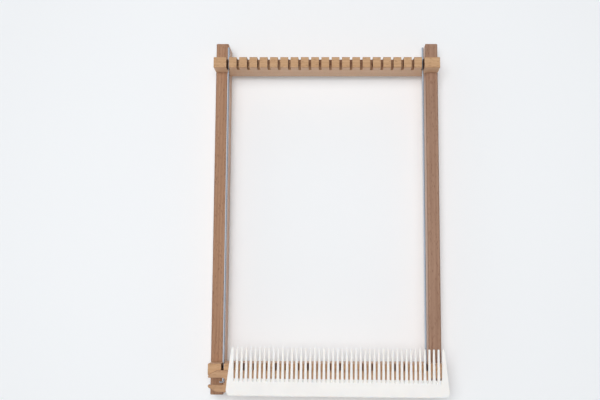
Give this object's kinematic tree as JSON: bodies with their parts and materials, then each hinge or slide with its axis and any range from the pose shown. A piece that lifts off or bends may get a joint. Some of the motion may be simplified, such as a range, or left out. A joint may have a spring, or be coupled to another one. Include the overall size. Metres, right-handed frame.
{
  "type": "school weaving frame",
  "caption": "Small wooden weaving frame with kerfed warp beams let into side rails, steel edge rods, a forked stick shuttle and a white beating comb.",
  "frame": {"origin": "middle of the whole set's base, in the plane of the rails' backs on which the frame lies", "axes": "+X across the frame to the right, +Y along the rails towards the upper beam, +Z out of the front face"},
  "size_m": [0.2012, 0.309, 0.047],
  "materials": {
    "rail_beech": "sanded, bare",
    "beam_beech": "sanded, bare",
    "shuttle_beech": "sanded, bare",
    "comb_plastic": "smooth moulded",
    "rod_steel": "bright drawn wire",
    "screw_zinc": "zinc plated"
  },
  "bodies": {
    "frame": {"left_rail": "rail_beech", "right_rail": "rail_beech", "top_beam": "beam_beech", "bottom_beam": "beam_beech", "top_left_screw": "screw_zinc", "top_right_screw": "screw_zinc", "bottom_left_screw": "screw_zinc", "bottom_right_screw": "screw_zinc"},
    "left_rod": {"left_edge_rod": "rod_steel"},
    "right_rod": {"right_edge_rod": "rod_steel"},
    "shuttle_body": {"shuttle": "shuttle_beech"},
    "comb_body": {"comb": "comb_plastic"}
  },
  "joints": [
    {"name": "left_rod_pull", "type": "slide", "parent": "frame", "child": "left_rod", "axis": [0, -1, 0], "range_m": [0, 0.29]},
    {"name": "right_rod_pull", "type": "slide", "parent": "frame", "child": "right_rod", "axis": [0, -1, 0], "range_m": [0, 0.29]},
    {"name": "shuttle_pull", "type": "slide", "parent": "frame", "child": "shuttle_body", "axis": [-1, 0, 0], "range_m": [0, 0.205]},
    {"name": "comb_lift", "type": "slide", "parent": "frame", "child": "comb_body", "axis": [0, 0, 1], "range_m": [0, 0.06]}
  ]
}
